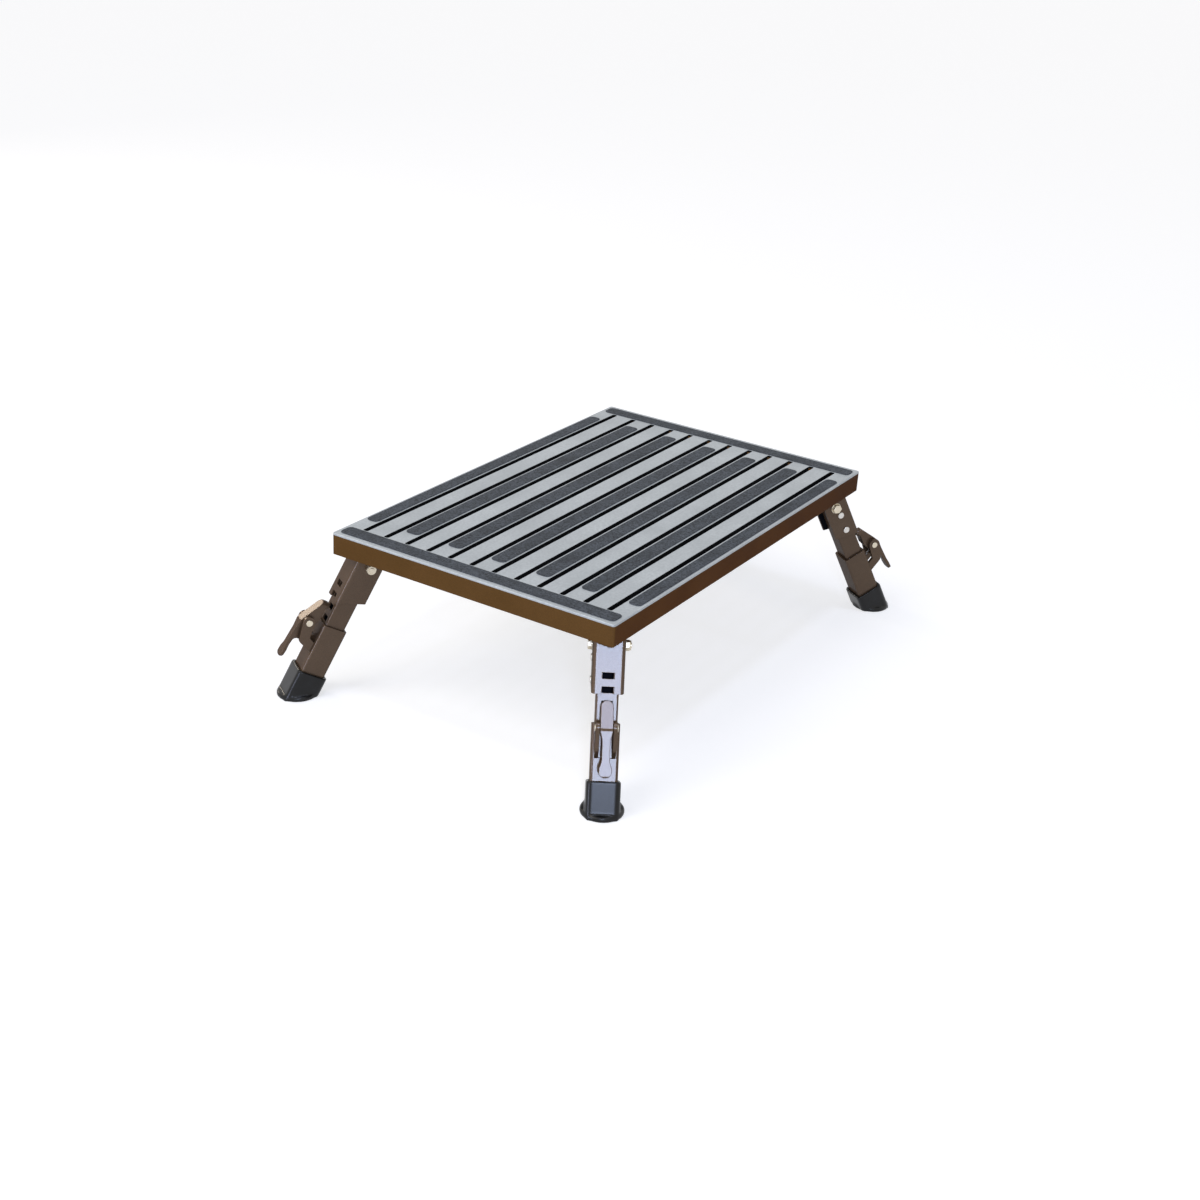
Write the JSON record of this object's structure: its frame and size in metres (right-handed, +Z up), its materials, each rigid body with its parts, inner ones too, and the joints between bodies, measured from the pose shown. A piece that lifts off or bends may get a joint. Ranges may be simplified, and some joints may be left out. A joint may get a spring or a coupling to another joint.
{
  "type": "folding caravan step",
  "caption": "Low folding entry step with a slotted, grip-taped tread, a brown rim and splayed legs that telescope under squeeze levers and fold flat.",
  "frame": {"origin": "on the floor, under the middle of the deck, with the legs unfolded and two notches out from their shortest", "axes": "+X along the long side of the deck, +Y across it, +Z up"},
  "size_m": [0.7418, 0.4908, 0.2055],
  "materials": {
    "brown_paint": "glossy metallic brown paint",
    "tread_metal": "fine textured silver",
    "grip_tape": "abrasive grit",
    "zinc_steel": "zinc plated",
    "rivet_metal": "plain",
    "foot_rubber": "moulded"
  },
  "bodies": {
    "deck": {"rail_front": "brown_paint", "rail_right": "brown_paint", "rail_rear": "brown_paint", "rail_left": "brown_paint", "tread_plate": "tread_metal", "crossbar_left": "brown_paint", "crossbar_right": "brown_paint", "grip_strip_1": "grip_tape", "grip_strip_2": "grip_tape", "grip_strip_3": "grip_tape", "grip_strip_4": "grip_tape", "grip_strip_5": "grip_tape", "grip_strip_6": "grip_tape", "grip_strip_7": "grip_tape", "end_strip_left": "grip_tape", "end_strip_right": "grip_tape", "pivot_bolts": "zinc_steel", "pivot_nuts": "zinc_steel", "pivot_washers": "zinc_steel", "corner_bracket_fl": "brown_paint", "corner_bracket_fr": "brown_paint", "corner_bracket_rl": "brown_paint", "corner_bracket_rr": "brown_paint"},
    "leg_fl": {"leg_channel_fl": "brown_paint", "inner_tube_fl": "brown_paint", "leg_rivets_fl": "rivet_metal"},
    "lower_leg_fl": {"lower_tube_fl": "brown_paint", "foot_fl": "foot_rubber", "lever_bracket_fl": "brown_paint", "lever_pin_fl": "zinc_steel", "lever_spring_fl": "zinc_steel"},
    "lever_fl": {"lever_fl": "brown_paint"},
    "leg_fr": {"leg_channel_fr": "brown_paint", "inner_tube_fr": "brown_paint", "leg_rivets_fr": "rivet_metal"},
    "lower_leg_fr": {"lower_tube_fr": "brown_paint", "foot_fr": "foot_rubber", "lever_bracket_fr": "brown_paint", "lever_pin_fr": "zinc_steel", "lever_spring_fr": "zinc_steel"},
    "lever_fr": {"lever_fr": "brown_paint"},
    "leg_rl": {"leg_channel_rl": "brown_paint", "inner_tube_rl": "brown_paint", "leg_rivets_rl": "rivet_metal"},
    "lower_leg_rl": {"lower_tube_rl": "brown_paint", "foot_rl": "foot_rubber", "lever_bracket_rl": "brown_paint", "lever_pin_rl": "zinc_steel", "lever_spring_rl": "zinc_steel"},
    "lever_rl": {"lever_rl": "brown_paint"},
    "leg_rr": {"leg_channel_rr": "brown_paint", "inner_tube_rr": "brown_paint", "leg_rivets_rr": "rivet_metal"},
    "lower_leg_rr": {"lower_tube_rr": "brown_paint", "foot_rr": "foot_rubber", "lever_bracket_rr": "brown_paint", "lever_pin_rr": "zinc_steel", "lever_spring_rr": "zinc_steel"},
    "lever_rr": {"lever_rr": "brown_paint"}
  },
  "joints": [
    {"name": "fold_fl", "type": "hinge", "parent": "deck", "child": "leg_fl", "pos_m": [-0.273, -0.1725, 0.16187], "axis": [0.5519, -0.8339, 0], "range_deg": [0, 117]},
    {"name": "slide_fl", "type": "slide", "parent": "leg_fl", "child": "lower_leg_fl", "axis": [-0.3786, -0.2506, -0.891], "range_m": [-0.031, 0.0155]},
    {"name": "squeeze_fl", "type": "hinge", "parent": "lower_leg_fl", "child": "lever_fl", "pos_m": [-0.33371, -0.21269, 0.09717], "axis": [0.5519, -0.8339, 0], "range_deg": [0, 14], "stiffness_Nm_per_rad": 0.6, "springref_deg": -20.05, "deforming": ["lever_spring_fl"]},
    {"name": "fold_fr", "type": "hinge", "parent": "deck", "child": "leg_fr", "pos_m": [0.273, -0.1725, 0.16187], "axis": [0.5519, 0.8339, 0], "range_deg": [0, 117]},
    {"name": "slide_fr", "type": "slide", "parent": "leg_fr", "child": "lower_leg_fr", "axis": [0.3786, -0.2506, -0.891], "range_m": [-0.031, 0.0155]},
    {"name": "squeeze_fr", "type": "hinge", "parent": "lower_leg_fr", "child": "lever_fr", "pos_m": [0.33371, -0.21269, 0.09717], "axis": [0.5519, 0.8339, 0], "range_deg": [0, 14], "stiffness_Nm_per_rad": 0.6, "springref_deg": -20.05, "deforming": ["lever_spring_fr"]},
    {"name": "fold_rl", "type": "hinge", "parent": "deck", "child": "leg_rl", "pos_m": [-0.273, 0.1725, 0.16187], "axis": [-0.5519, -0.8339, 0], "range_deg": [0, 117]},
    {"name": "slide_rl", "type": "slide", "parent": "leg_rl", "child": "lower_leg_rl", "axis": [-0.3786, 0.2506, -0.891], "range_m": [-0.031, 0.0155]},
    {"name": "squeeze_rl", "type": "hinge", "parent": "lower_leg_rl", "child": "lever_rl", "pos_m": [-0.33371, 0.21269, 0.09717], "axis": [-0.5519, -0.8339, 0], "range_deg": [0, 14], "stiffness_Nm_per_rad": 0.6, "springref_deg": -20.05, "deforming": ["lever_spring_rl"]},
    {"name": "fold_rr", "type": "hinge", "parent": "deck", "child": "leg_rr", "pos_m": [0.273, 0.1725, 0.16187], "axis": [-0.5519, 0.8339, 0], "range_deg": [0, 117]},
    {"name": "slide_rr", "type": "slide", "parent": "leg_rr", "child": "lower_leg_rr", "axis": [0.3786, 0.2506, -0.891], "range_m": [-0.031, 0.0155]},
    {"name": "squeeze_rr", "type": "hinge", "parent": "lower_leg_rr", "child": "lever_rr", "pos_m": [0.33371, 0.21269, 0.09717], "axis": [-0.5519, 0.8339, 0], "range_deg": [0, 14], "stiffness_Nm_per_rad": 0.6, "springref_deg": -20.05, "deforming": ["lever_spring_rr"]}
  ]
}
